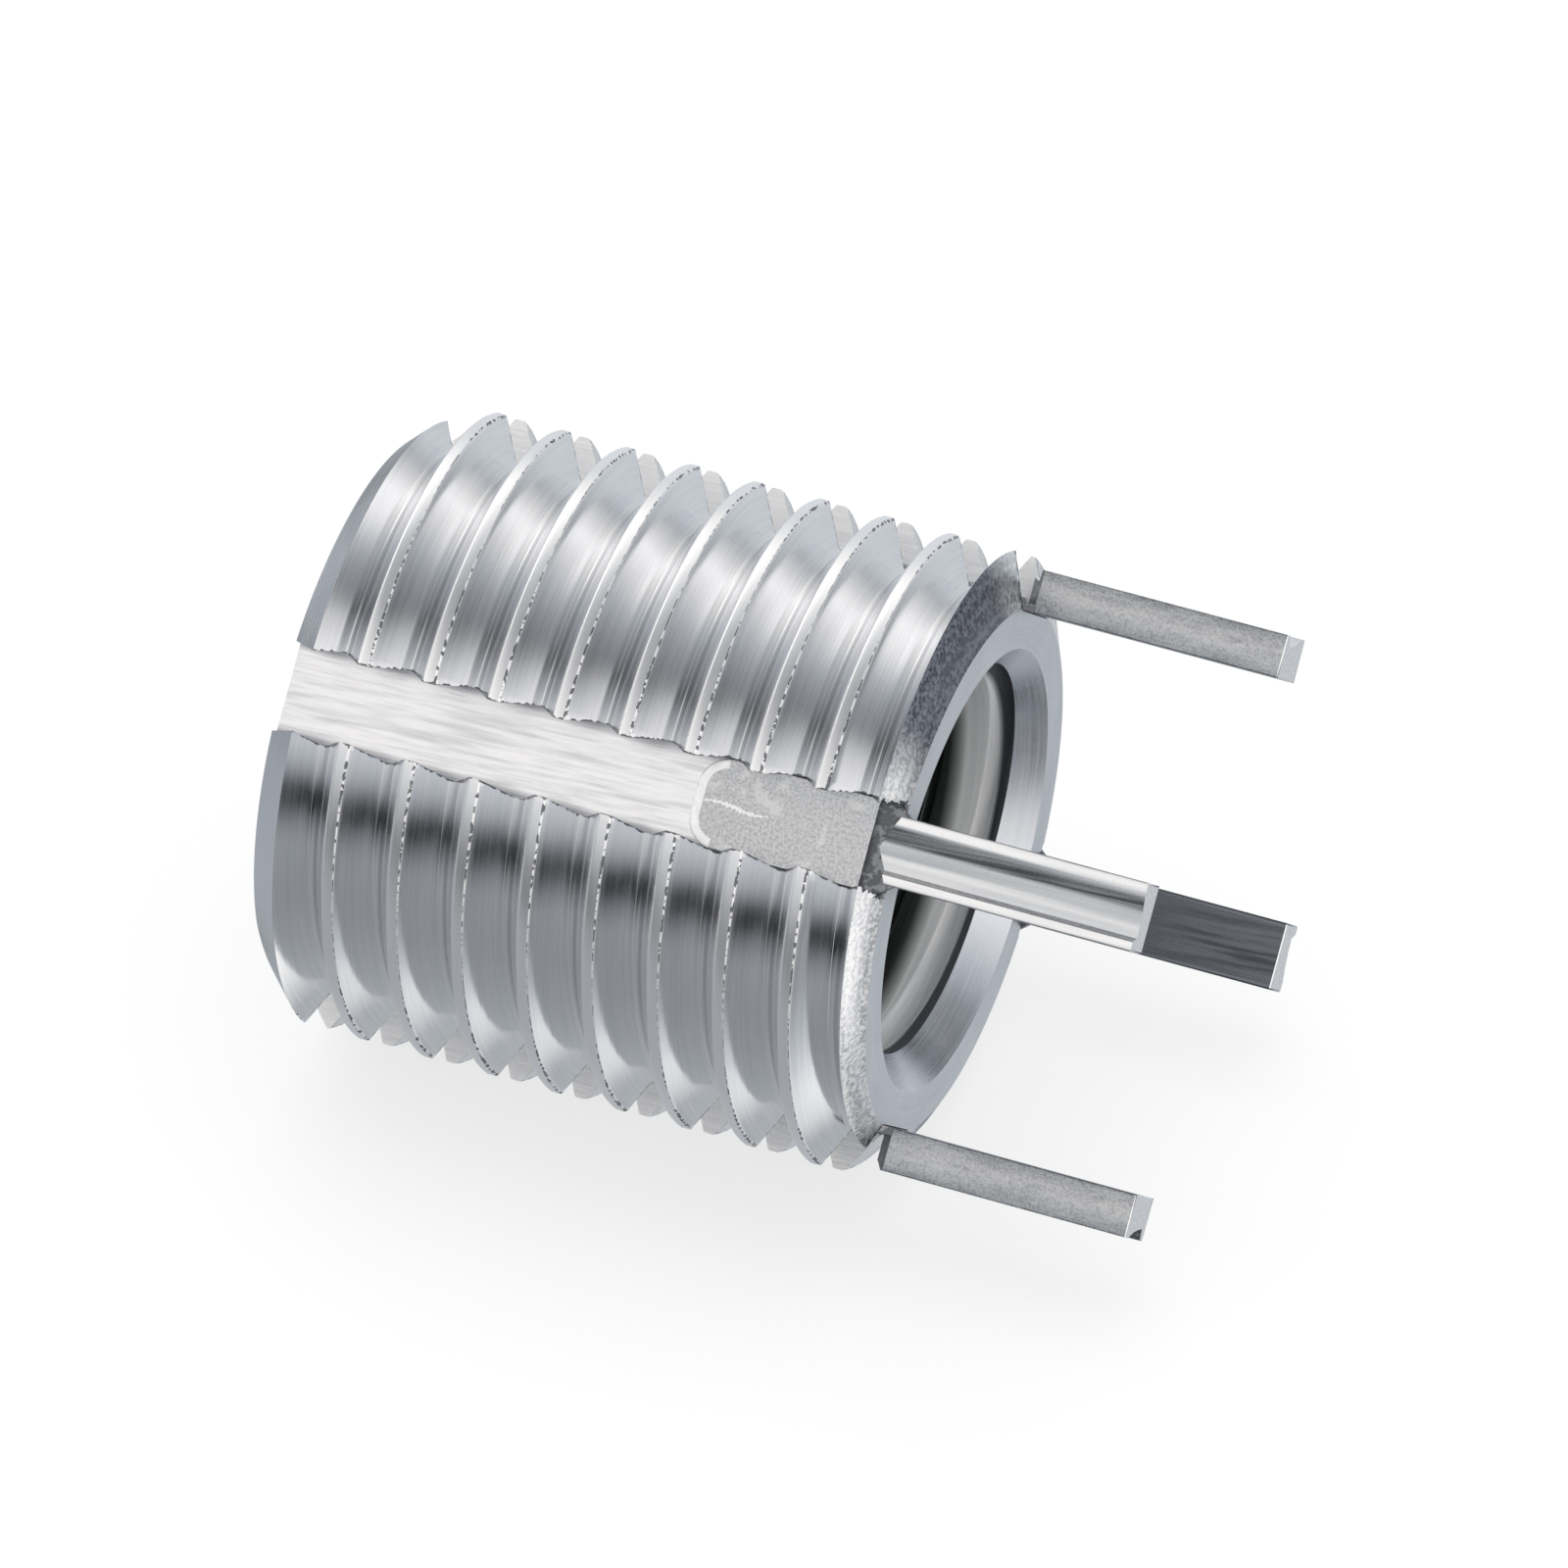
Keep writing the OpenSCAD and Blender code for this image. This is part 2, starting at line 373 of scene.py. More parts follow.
# A locking key: a thin foot in the dovetail, a web, and a blade with a cutting edge and a drawn channel
keySizes = {
    "bladeWidth": 1.5 * mm,
    "bladeThickness": 0.95 * mm,
    "footLength": 4.0 * mm,
    "footThickness": 0.3 * mm,
    "footTipRound": 0.66 * mm,
    "tipEdge": 0.05 * mm,
    "rimWidth": 0.15 * mm,
    "rimHeight": 0.025 * mm,
    "bladeEdge": 0.035 * mm,
    "sideGap": 0.02 * mm,
    "notchWaist": 0.36 * mm,
    "notchLength": 0.73 * mm,
    "webThickness": 0.17 * mm,
    "webLength": 0.4 * mm,
    "drawnLines": 30,
    "drawnBetween": (0.18, 0.82),
    "drawnUnevenness": 0.006 * mm,
    # Across the blade: (share of its width, depth of the channel)
    "channel": [(0.0, 0.0), (0.17, 0.0), (0.2, 0.03 * mm), (0.44, 0.17 * mm), (0.5, 0.175 * mm),
                (0.55, 0.21 * mm), (0.62, 0.215 * mm), (0.8, 0.255 * mm), (0.84, 0.02 * mm),
                (0.87, 0.0), (1.0, 0.0)],
}
keyInner, keyTop, footBottom = -keyHigh.y, keyHigh.z, keyLow.z
footTop = footBottom + keySizes["footLength"]
bladeOuter = keyInner + keySizes["bladeThickness"]


def box(name, low, high):
    bpy.ops.mesh.primitive_cube_add(size=1, location=(Vector(low) + Vector(high)) / 2)
    bar = named(name)
    bar.scale = Vector(high) - Vector(low)
    applyPlace(bar)
    return bar


# Half the width that a slot leaves for a key at a distance from the axis
def slotHalf(radius):
    half = bodySizes["slotMouthWidth"] / 2 + slotSlope * (bodySizes["crestRadius"] - radius)
    return half - keySizes["sideGap"]


def keyFoot(sizes):
    outer = keyInner + sizes["footThickness"]
    wide, narrow = slotHalf(keyInner), slotHalf(outer)
    foot = box("foot", (-wide, keyInner, footBottom), (wide, outer, footTop))
    pick(foot, "FACE", lambda middle, normal: normal.y > 0.9)
    bpy.ops.transform.resize(value=(narrow / wide, 1, 1))
    pick(foot, "EDGE", lambda middle, run: abs(run.y) > 0.9 and middle.z < footTop - mm)
    bpy.ops.mesh.bevel(offset=sizes["footTipRound"], segments=12, affect="EDGES")
    tipTop = footBottom + sizes["footTipRound"] + 0.01 * mm
    onTop = outer - 0.01 * mm
    pick(foot, "EDGE", lambda middle, run: middle.y > onTop and middle.z < tipTop)
    bpy.ops.mesh.bevel(offset=sizes["tipEdge"], segments=3, affect="EDGES")
    pick(foot, "FACE", lambda middle, normal: normal.y > 0.99)
    bpy.ops.mesh.inset(thickness=sizes["rimWidth"], depth=-sizes["rimHeight"])
    done()
    return foot


def channelDepth(share, sizes):
    for (here, depthHere), (there, depthThere) in zip(sizes["channel"], sizes["channel"][1:]):
        if here <= share <= there:
            return depthHere + (depthThere - depthHere) * (share - here) / (there - here)
    return 0


def keyBlade(sizes, rng):
    half = sizes["bladeWidth"] / 2
    blade = box("blade", (-half, keyInner, footTop), (half, bladeOuter, keyTop))
    shares = [i / sizes["drawnLines"] for i in range(1, sizes["drawnLines"])]
    shares = sorted(set(shares + [share for share, depth in sizes["channel"][1:-1]]))
    for share in shares:
        editAll(blade)
        bpy.ops.mesh.bisect(plane_co=(half - share * 2 * half, 0, 0), plane_no=(1, 0, 0))
    start, end = sizes["drawnBetween"]
    for share in shares:
        place = half - share * 2 * half
        uneven = rng.random() if start < share < end else 0
        depth = channelDepth(share, sizes) + uneven * sizes["drawnUnevenness"]
        pick(blade, "VERT", lambda p: abs(p.x - place) < 0.002 * mm and p.y > bladeOuter - 0.001 * mm)
        bpy.ops.transform.translate(value=(0, -depth, 0))
    pick(blade, "EDGE", lambda middle, run: abs(run.z) > 0.9 and abs(middle.x) > half * 0.99)
    bpy.ops.mesh.bevel(offset=sizes["bladeEdge"], segments=2, affect="EDGES")
    pick(blade, "EDGE", lambda middle, run: middle.z > keyTop - 0.001 * mm and (
        abs(middle.y - keyInner) < 0.001 * mm or abs(middle.x) > half * 0.99))
    bpy.ops.mesh.bevel(offset=sizes["bladeEdge"] * 0.6, segments=1, affect="EDGES")
    done()
    return blade


# What is cut from the blade's lower end to leave an edge that comes to a point at the middle
def bladeEnd(sizes):
    width = sizes["bladeWidth"]
    sides = footTop + sizes["notchWaist"] + (sizes["notchLength"] - sizes["notchWaist"]) * 2
    low = footTop - mm
    end = box("bladeEnd", (-width, keyInner - mm, low), (width, bladeOuter + mm, sides))
    editAll(end)
    bpy.ops.mesh.bisect(plane_co=(0, 0, 0), plane_no=(1, 0, 0))
    pick(end, "VERT", lambda p: abs(p.x) < 0.01 * mm and p.z > sides - 0.01 * mm)
    bpy.ops.transform.translate(value=(0, 0, footTop + sizes["notchWaist"] - sides))
    done()
    return end


# The web that joins foot and blade under the notch, as wide as the foot and then narrowing to the blade
def keyWeb(sizes):
    outer, half = keyInner + sizes["webThickness"], sizes["bladeWidth"] / 2 - sizes["bladeEdge"] / 2
    wide = slotHalf(outer)
    web = box("web", (-wide, keyInner, footTop - 0.1 * mm), (wide, outer, footTop + sizes["webLength"]))
    pick(web, "FACE", lambda middle, normal: normal.z > 0.9)
    run = sizes["notchLength"] - sizes["webLength"]
    bpy.ops.mesh.extrude_region_move(TRANSFORM_OT_translate={"value": (0, 0, run)})
    bpy.ops.transform.resize(value=(half / wide, 1, 1))
    bpy.ops.mesh.extrude_region_move(TRANSFORM_OT_translate={"value": (0, 0, sizes["webThickness"])})
    done()
    return web


def lockingKey(index, sizes):
    rng = random.Random(40 + index)
    key = keyBlade(sizes, rng)
    combine(key, bladeEnd(sizes), "DIFFERENCE")
    combine(key, keyWeb(sizes), "UNION")
    combine(key, keyFoot(sizes), "UNION")
    tidyFaces(key, turnOut=False)
    makeActive(key)
    bpy.ops.object.shade_smooth_by_angle(angle=math.radians(25))
    key.name = key.data.name = f"lockingKey{index}"
    key.rotation_euler.z = math.radians(180 + 90 * (index - 1))
    applyPlace(key)
    return key


keys = []
for index in range(1, 5):
    key = lockingKey(index, keySizes)
    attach(key, "root")
    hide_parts(f"locking_key_{index}")
    keys.append(key)
print("keys modelled:", [len(key.data.polygons) for key in keys], "faces")


# Small helpers for building materials and the groups of nodes that they share
def calculator(tree):
    def calc(operation, *values):
        node = tree.nodes.new("ShaderNodeMath")
        node.operation = operation
        for slot, value in zip(node.inputs, values):
            if isinstance(value, (int, float)):
                slot.default_value = value
            else:
                tree.links.new(value, slot)
        return node.outputs[0]
    return calc


def mapped(tree, value, fromLow, fromHigh, toLow=0.0, toHigh=1.0):
    node = tree.nodes.new("ShaderNodeMapRange")
    tree.links.new(value, node.inputs["Value"])
    limits = {"From Min": fromLow, "From Max": fromHigh, "To Min": toLow, "To Max": toHigh}
    for name, level in limits.items():
        node.inputs[name].default_value = level
    return node.outputs["Result"]


def mixed(tree, factor, first, second):
    node = tree.nodes.new("ShaderNodeMix")
    node.data_type = "RGBA"
    for index, value in zip((0, 6, 7), (factor, first, second)):  # the colour sockets are the last two
        if isinstance(value, tuple):
            node.inputs[index].default_value = (*value, 1)
        else:
            tree.links.new(value, node.inputs[index])
    return node.outputs[2]


def joined(tree, *values):
    node = tree.nodes.new("ShaderNodeCombineXYZ")
    for slot, value in zip(node.inputs, values):
        tree.links.new(value, slot)
    return node.outputs[0]


def noise(tree, place, scale, detail, extra=None):
    node = tree.nodes.new("ShaderNodeTexNoise")
    node.noise_dimensions = "4D" if extra else "3D"
    tree.links.new(place, node.inputs["Vector"])
    if extra:
        tree.links.new(extra, node.inputs["W"])
    node.inputs["Scale"].default_value = scale
    node.inputs["Detail"].default_value = detail
    return node.outputs[0]


# Splits a place in metres into x, y and z in millimetres, and the distance from the axis
def splitPlace(tree, place):
    calc = calculator(tree)
    parts = tree.nodes.new("ShaderNodeSeparateXYZ")
    tree.links.new(place, parts.inputs[0])
    x, y, z = (calc("MULTIPLY", part, 1 / mm) for part in parts.outputs)
    return x, y, z, calc("SQRT", calc("ADD", calc("MULTIPLY", x, x), calc("MULTIPLY", y, y)))


def newGroup(name, inputs, outputs):
    tree = bpy.data.node_groups.new(name, "ShaderNodeTree")
    tree.interface.new_socket("Place", in_out="INPUT", socket_type="NodeSocketVector")
    for label, level in inputs.items():
        socket = tree.interface.new_socket(label, in_out="INPUT", socket_type="NodeSocketFloat")
        socket.default_value = level
    for label in outputs:
        tree.interface.new_socket(label, in_out="OUTPUT", socket_type="NodeSocketFloat")
    return tree, tree.nodes.new("NodeGroupInput"), tree.nodes.new("NodeGroupOutput")


# How far a place is above the middle of a crest, from 0 to 1 over a pitch. A pitch of 0 gives rings instead
def threadPhase(tree, x, y, z, pitch):
    calc = calculator(tree)
    turned = calc("MULTIPLY_ADD", calc("ARCTAN2", y, x), 1 / math.tau, -0.5)
    height = calc("SUBTRACT", z, calc("MULTIPLY", turned, pitch))
    return calc("FRACT", calc("MULTIPLY", height, mm / bodySizes["threadPitch"]))


# Fine lines left by turning
def turnedLinesGroup():
    tree, entry, leave = newGroup("turnedLines", {"Pitch": 0.0, "Fineness": 20.0}, ["Lines", "Patches"])
    calc = calculator(tree)
    x, y, z, radius = splitPlace(tree, entry.outputs["Place"])
    fine = entry.outputs["Fineness"]
    phase = threadPhase(tree, x, y, z, entry.outputs["Pitch"])
    across = calc("MULTIPLY", calc("MULTIPLY", phase, bodySizes["threadPitch"] / mm), fine)
    place = joined(tree, calc("MULTIPLY", radius, fine), across, calc("MULTIPLY", x, 0.35))
    along = calc("MULTIPLY_ADD", y, 0.35, calc("MULTIPLY", z, 0.25))
    tree.links.new(noise(tree, place, 1.0, 2.0, along), leave.inputs["Lines"])
    tree.links.new(noise(tree, entry.outputs["Place"], 0.8 / mm, 3.0), leave.inputs["Patches"])
    return tree


# Fine scratches along the axis, left by broaching or drawing
def drawnLinesGroup():
    tree, entry, leave = newGroup("drawnLines", {"Fineness": 14.0, "Run": 0.6}, ["Lines", "Streaks"])
    calc = calculator(tree)
    x, y, z, radius = splitPlace(tree, entry.outputs["Place"])
    fine = entry.outputs["Fineness"]
    lean = calc("MULTIPLY", z, 0.04)  # the scratches run a little askew
    place = joined(tree, calc("MULTIPLY", calc("ADD", x, lean), fine),
                   calc("MULTIPLY", calc("ADD", y, lean), fine),
                   calc("MULTIPLY", z, entry.outputs["Run"]))
    tree.links.new(noise(tree, place, 1.0, 3.0), leave.inputs["Lines"])
    tree.links.new(mapped(tree, noise(tree, place, 0.45, 1.0), 0.54, 0.68), leave.inputs["Streaks"])
    return tree


# A fine grain with a few pits, as on steel that was struck or ground
def grainGroup():
    tree, entry, leave = newGroup("grain", {"Fineness": 16.0}, ["Grain", "Pits"])
    calc = calculator(tree)
    scaled = tree.nodes.new("ShaderNodeVectorMath")
    scaled.operation = "SCALE"
    tree.links.new(entry.outputs["Place"], scaled.inputs[0])
    tree.links.new(calc("MULTIPLY", entry.outputs["Fineness"], 1 / mm), scaled.inputs["Scale"])
    tree.links.new(noise(tree, scaled.outputs[0], 1.0, 3.0), leave.inputs["Grain"])
    coarse = noise(tree, scaled.outputs[0], 0.4, 2.0)
    tree.links.new(mapped(tree, coarse, 0.6, 0.68), leave.inputs["Pits"])
    return tree


# Painted shade in dark dashes and painted glints in bright spots, along the slots' edges and the upper edge
# of each crest, where the burrs are. The slots' cutter left the burrs, so the marks thin out away from the
# slots
def burrShadeAndGlintsGroup():
    tree, entry, leave = newGroup("burrShadeAndGlints", {"Reach": 0.05}, ["Dashes", "BurrGlints"])
    calc = calculator(tree)
    x, y, z, radius = splitPlace(tree, entry.outputs["Place"])
    pitch = bodySizes["threadPitch"] / mm
    reach = entry.outputs["Reach"]
    ragged = noise(tree, entry.outputs["Place"], 7.0 / mm, 3.0)
    edge = bodySizes["crestFlat"] / mm / 2
    above = calc("MULTIPLY", threadPhase(tree, x, y, z, pitch), pitch)
    aside = calc("MINIMUM", calc("ABSOLUTE", x), calc("ABSOLUTE", y))
    nearSlot = mapped(tree, aside, 1.6, 4.4, 1.25, 0.2)
    thickness = calc("MULTIPLY", calc("MULTIPLY", reach, nearSlot), mapped(tree, ragged, 0.48, 0.56))
    onEdge = calc("LESS_THAN", calc("ABSOLUTE", calc("SUBTRACT", above, edge)), thickness)
    onCrest = calc("GREATER_THAN", radius, bodySizes["crestRadius"] / mm - 0.12)
    outward = calc("MAXIMUM", calc("ABSOLUTE", x), calc("ABSOLUTE", y))
    depth = calc("SUBTRACT", bodySizes["crestRadius"] / mm, outward)
    half = calc("MULTIPLY_ADD", depth, slotSlope, bodySizes["slotMouthWidth"] / mm / 2)
    beside = calc("SUBTRACT", aside, half)
    slotReach = calc("MULTIPLY", reach, mapped(tree, ragged, 0.4, 0.6, 0.0, 1.7))
    slotDash = calc("LESS_THAN", beside, slotReach)
    # painted shade: dashes along the crests' upper edges and beside the slots
    tree.links.new(calc("MAXIMUM", calc("MULTIPLY", onEdge, onCrest), slotDash), leave.inputs["Dashes"])
    # painted glints on the crests near the slots
    near = calc("LESS_THAN", beside, calc("MULTIPLY", reach, 4.0))
    tree.links.new(calc("MULTIPLY", near, onCrest), leave.inputs["BurrGlints"])
    return tree


groups = {group.name: group for group in (turnedLinesGroup(), drawnLinesGroup(),
                                          grainGroup(), burrShadeAndGlintsGroup())}


# Starts a steel and gives it, its nodes, its shader and the place on the surface
def newSteel(name):
    material = bpy.data.materials.new(name)
    material.use_nodes = True
    tree = material.node_tree
    shader = tree.nodes["Principled BSDF"]
    shader.inputs["Metallic"].default_value = 1
    return material, tree, shader, tree.nodes.new("ShaderNodeTexCoord").outputs["Object"]


def useGroup(tree, name, place, **values):
    node = tree.nodes.new("ShaderNodeGroup")
    node.node_tree = groups[name]
    tree.links.new(place, node.inputs["Place"])
    for label, value in values.items():
        node.inputs[label].default_value = value
    return node.outputs


def bumped(tree, shader, height, distance):
    bump = tree.nodes.new("ShaderNodeBump")
    bump.inputs["Distance"].default_value = distance
    tree.links.new(height, bump.inputs["Height"])
    tree.links.new(bump.outputs["Normal"], shader.inputs["Normal"])


# Cut threads: smooth flanks with faint lines along the helix, and a painted highlight on the crests and
# lower flanks
threadLooks = {
    "flankLow": (0.71, 0.725, 0.75),
    "flankHigh": (0.78, 0.785, 0.8),
    # the painted highlight colour of the crests and lower flanks
    "crest": (0.95, 0.955, 0.97),
    # painted glint on the burrs, then painted shade in the dashes along the edges
    "burrGlint": (0.98, 0.98, 0.98),
    "dashShade": (0.18, 0.185, 0.2),
    "fineness": 15.0,
    "dashReach": 0.025,
}


def threadSteel(looks):
    material, tree, shader, place = newSteel("threadSteel")
    calc = calculator(tree)
    pitch = bodySizes["threadPitch"] / mm
    lines = useGroup(tree, "turnedLines", place, Pitch=pitch, Fineness=looks["fineness"])
    edgeLight = useGroup(tree, "burrShadeAndGlints", place, Reach=looks["dashReach"])
    x, y, z, radius = splitPlace(tree, place)
    phase = threadPhase(tree, x, y, z, pitch)
    crest = bodySizes["crestRadius"] / mm
    lowerFlank = mapped(tree, phase, 0.54, 0.58)  # from just above the root's middle to the next crest
    onCrest = mapped(tree, radius, crest - 0.07, crest - 0.03)
    grey = mixed(tree, mapped(tree, lines["Lines"], 0.35, 0.65), looks["flankLow"], looks["flankHigh"])
    # painted highlight: the crests and the lower flanks take the crest colour
    lit = mixed(tree, calc("MAXIMUM", lowerFlank, onCrest), grey, looks["crest"])
    # painted glints on the burrs, then painted shade in the dashes
    burrGlinted = mixed(tree, edgeLight["BurrGlints"], lit, looks["burrGlint"])
    tree.links.new(mixed(tree, edgeLight["Dashes"], burrGlinted, looks["dashShade"]), shader.inputs["Base Color"])
    rough = calc("ADD", mapped(tree, lines["Lines"], 0.3, 0.7, 0.1, 0.17),
                 mapped(tree, lines["Patches"], 0.4, 0.7, 0.0, 0.05))
    tree.links.new(calc("MULTIPLY_ADD", calc("MAXIMUM", edgeLight["Dashes"], onCrest), 0.2, rough),
                   shader.inputs["Roughness"])
    bumped(tree, shader, calc("SUBTRACT", lines["Lines"], edgeLight["Dashes"]), 0.001 * mm)
    return material


# Slots: bright floors with fine scratches along them, greyer with painted shade beside the walls, which are
# pale and matt
slotLooks = {
    "floorLow": (0.73, 0.73, 0.745),
    "floorHigh": (0.97, 0.965, 0.975),
    "streak": (0.5, 0.5, 0.53),
    "shadeBesideWall": (0.42, 0.43, 0.46),
    "wallLow": (0.9, 0.9, 0.91),
    "wallHigh": (0.98, 0.98, 0.98),
    "wallMetallic": 0.45,
    "fineness": 13.0,
}


def slotSteel(looks):
    material, tree, shader, place = newSteel("slotSteel")
    calc = calculator(tree)
    drawn = useGroup(tree, "drawnLines", place, Fineness=looks["fineness"], Run=0.7)
    x, y, z, radius = splitPlace(tree, place)
    beside = calc("MINIMUM", calc("ABSOLUTE", x), calc("ABSOLUTE", y))
    halfFloor = bodySizes["slotFloorWidth"] / mm / 2
    light = mixed(tree, mapped(tree, drawn["Lines"], 0.3, 0.62), looks["floorLow"], looks["floorHigh"])
    streaked = mixed(tree, calc("MULTIPLY", drawn["Streaks"], 0.4), light, looks["streak"])
    # painted shade on the floor beside the walls, under their overhang
    atWall = mapped(tree, beside, halfFloor - 0.24, halfFloor - 0.1)
    outward = calc("MAXIMUM", calc("ABSOLUTE", x), calc("ABSOLUTE", y))
    onFloor = calc("LESS_THAN", outward, (bodySizes["crestRadius"] - bodySizes["slotDepth"]) / mm + 0.02)
    floor = mixed(tree, atWall, streaked, looks["shadeBesideWall"])
    wall = mixed(tree, mapped(tree, drawn["Lines"], 0.3, 0.7), looks["wallLow"], looks["wallHigh"])
    tree.links.new(mixed(tree, onFloor, wall, floor), shader.inputs["Base Color"])
    metallic = mapped(tree, onFloor, 0.0, 1.0, looks["wallMetallic"], 1.0)
    tree.links.new(metallic, shader.inputs["Metallic"])
    rough = mapped(tree, drawn["Lines"], 0.3, 0.7, 0.26, 0.4)
    rougher = mapped(tree, onFloor, 0.0, 1.0, 0.2, 0.0)
    tree.links.new(calc("ADD", rough, rougher), shader.inputs["Roughness"])
    bumped(tree, shader, drawn["Lines"], 0.01 * mm)
    return material


# Turned faces: the rings, the countersinks and the chamfer of the plain end
turnedLooks = {
    "low": (0.6, 0.625, 0.67),
    "high": (0.7, 0.725, 0.77),
    "fineness": 22.0,
}


def turnedSteel(looks):
    material, tree, shader, place = newSteel("turnedSteel")
    calc = calculator(tree)
    lines = useGroup(tree, "turnedLines", place, Pitch=0.0, Fineness=looks["fineness"])
    shade = calc("MULTIPLY_ADD", lines["Lines"], 0.6, calc("MULTIPLY", lines["Patches"], 0.4))
    tree.links.new(mixed(tree, mapped(tree, shade, 0.36, 0.64), looks["low"], looks["high"]),
                   shader.inputs["Base Color"])
    tree.links.new(mapped(tree, shade, 0.3, 0.7, 0.2, 0.34), shader.inputs["Roughness"])
    bumped(tree, shader, lines["Lines"], 0.0008 * mm)
    return material


# The chamfer of the key end: a coarse granular cut, with a painted dark reflection over two opposite
# quarters
groundLooks = {
    # the painted dark reflection
    "darkReflectionLow": (0.08, 0.09, 0.115),
    "darkReflectionHigh": (0.26, 0.28, 0.33),
    "lightLow": (0.62, 0.64, 0.68),
    "lightHigh": (0.98, 0.985, 0.99),
    # painted shade in the dashes along the edges
    "dashShade": (0.06, 0.065, 0.08),
    "dashReach": 0.06,
    "fineness": 10.0,
}


def groundSteel(looks):
    material, tree, shader, place = newSteel("groundSteel")
    calc = calculator(tree)
    grain = useGroup(tree, "grain", place, Fineness=looks["fineness"])
    lines = useGroup(tree, "turnedLines", place, Pitch=0.0, Fineness=8.0)
    edgeLight = useGroup(tree, "burrShadeAndGlints", place, Reach=looks["dashReach"])
    x, y, z, radius = splitPlace(tree, place)
    mottle = calc("MULTIPLY_ADD", lines["Lines"], 0.3, calc("MULTIPLY", grain["Grain"], 0.7))
    speckle = mapped(tree, mottle, 0.43, 0.57)
    darkReflection = mixed(tree, speckle, looks["darkReflectionLow"], looks["darkReflectionHigh"])
    light = mixed(tree, speckle, looks["lightLow"], looks["lightHigh"])
    reflectionQuarter = calc("DIVIDE", calc("MULTIPLY", x, y), calc("MULTIPLY", radius, radius))
    # painted dark reflection over the quarters where x and y have the same sign
    cut = mixed(tree, mapped(tree, reflectionQuarter, 0.2, 0.38), light, darkReflection)
    # painted shade in the dashes along the edges
    tree.links.new(mixed(tree, edgeLight["Dashes"], cut, looks["dashShade"]), shader.inputs["Base Color"])
    tree.links.new(mapped(tree, grain["Grain"], 0.35, 0.65, 0.26, 0.46), shader.inputs["Roughness"])
    bumped(tree, shader, grain["Grain"], 0.012 * mm)
    return material


# The bore: a dark line of painted shade at the countersink's foot, then a land painted light, then painted
# shade deeper in, a little green. Each change starts and ends at a depth in millimetres from the nearer end
boreLooks = {
    # painted shade in the line at the countersink's foot, painted light on the land, painted shade deeper
    # in
    "line": (0.16, 0.17, 0.19),
    "litLandLow": (0.88, 0.89, 0.9),
    "litLandHigh": (0.97, 0.975, 0.98),
    "deepShadeLow": (0.1, 0.12, 0.11),
    "deepShadeHigh": (0.19, 0.21, 0.195),
    "lineEnds": (0.88, 0.96),
    "landEnds": (1.6, 2.0),
    "fineness": 10.0,
}


def boreSteel(looks):
    material, tree, shader, place = newSteel("boreSteel")
    calc = calculator(tree)
    lines = useGroup(tree, "turnedLines", place, Pitch=0.0, Fineness=looks["fineness"])
    x, y, z, radius = splitPlace(tree, place)
    middle = bodyLength / mm / 2
    depth = calc("SUBTRACT", middle, calc("ABSOLUTE", calc("SUBTRACT", z, middle)))
    stripes = mapped(tree, lines["Lines"], 0.3, 0.7)
    litLand = mixed(tree, stripes, looks["litLandLow"], looks["litLandHigh"])
    deepShade = mixed(tree, stripes, looks["deepShadeLow"], looks["deepShadeHigh"])
    # painted light on the land near each mouth, painted shade deeper in
    wall = mixed(tree, mapped(tree, depth, *looks["landEnds"]), litLand, deepShade)
    # painted shade in the line at the countersink's foot
    tree.links.new(mixed(tree, mapped(tree, depth, *looks["lineEnds"]), looks["line"], wall),
                   shader.inputs["Base Color"])
    tree.links.new(mapped(tree, depth, *looks["landEnds"], 0.85, 0.4), shader.inputs["Roughness"])
    bumped(tree, shader, lines["Lines"], 0.002 * mm)
    return material


# The keys' blades: drawn steel, smooth in the channel, granular on the sides, with painted shade on the
# faces towards the axis
bladeLooks = {
    "channel": {"low": (0.82, 0.825, 0.84), "high": (0.95, 0.95, 0.955),
                "fineness": 11.0, "run": 0.1, "grainShare": 0.1, "height": 0.0005 * mm},
    "side": {"low": (0.34, 0.35, 0.37), "high": (0.56, 0.57, 0.585),
             "fineness": 6.0, "run": 0.9, "grainShare": 0.6, "height": 0.006 * mm},
    # painted shade on the faces that face the axis
    "inside": {"low": (0.18, 0.19, 0.215), "high": (0.22, 0.235, 0.26),
               "fineness": 9.0, "run": 0.2, "grainShare": 0.1, "height": 0.001 * mm},
}


def bladeSteel(name, low, high, fineness, run, grainShare, height):
    material, tree, shader, place = newSteel(name)
    calc = calculator(tree)
    drawn = useGroup(tree, "drawnLines", place, Fineness=fineness, Run=run)
    grain = useGroup(tree, "grain", place, Fineness=17.0)
    grained = calc("MULTIPLY", grain["Grain"], grainShare)
    shade = calc("MULTIPLY_ADD", drawn["Lines"], 1 - grainShare, grained)
    grey = mixed(tree, mapped(tree, shade, 0.38, 0.62), low, high)
    pits = calc("MULTIPLY", grain["Pits"], 0.4 * grainShare)
    tree.links.new(mixed(tree, pits, grey, (0.12, 0.125, 0.14)), shader.inputs["Base Color"])
    tree.links.new(mapped(tree, shade, 0.38, 0.62, 0.18, 0.32), shader.inputs["Roughness"])
    bumped(tree, shader, shade, height)
    return material


# The scratch on the front key's foot, in millimetres: its ends along the axis and to the side, and its bow
scratchSizes = {
    "low": 9.5,
    "high": 11.26,
    "startSide": 0.05,
    "endSide": -0.03,
    "bow": -0.12,
    "halfWidth": 0.075,
}

# The keys' feet: struck flat, with scuffs, and a bright scratch on the front one
footLooks = {
    "low": (0.46, 0.47, 0.485),
    "high": (0.74, 0.745, 0.76),
    "scuff": (0.95, 0.95, 0.95),
    "scratch": (0.99, 0.99, 0.99),
    "fineness": 15.0,
    "scuffFineness": 6.0,
}


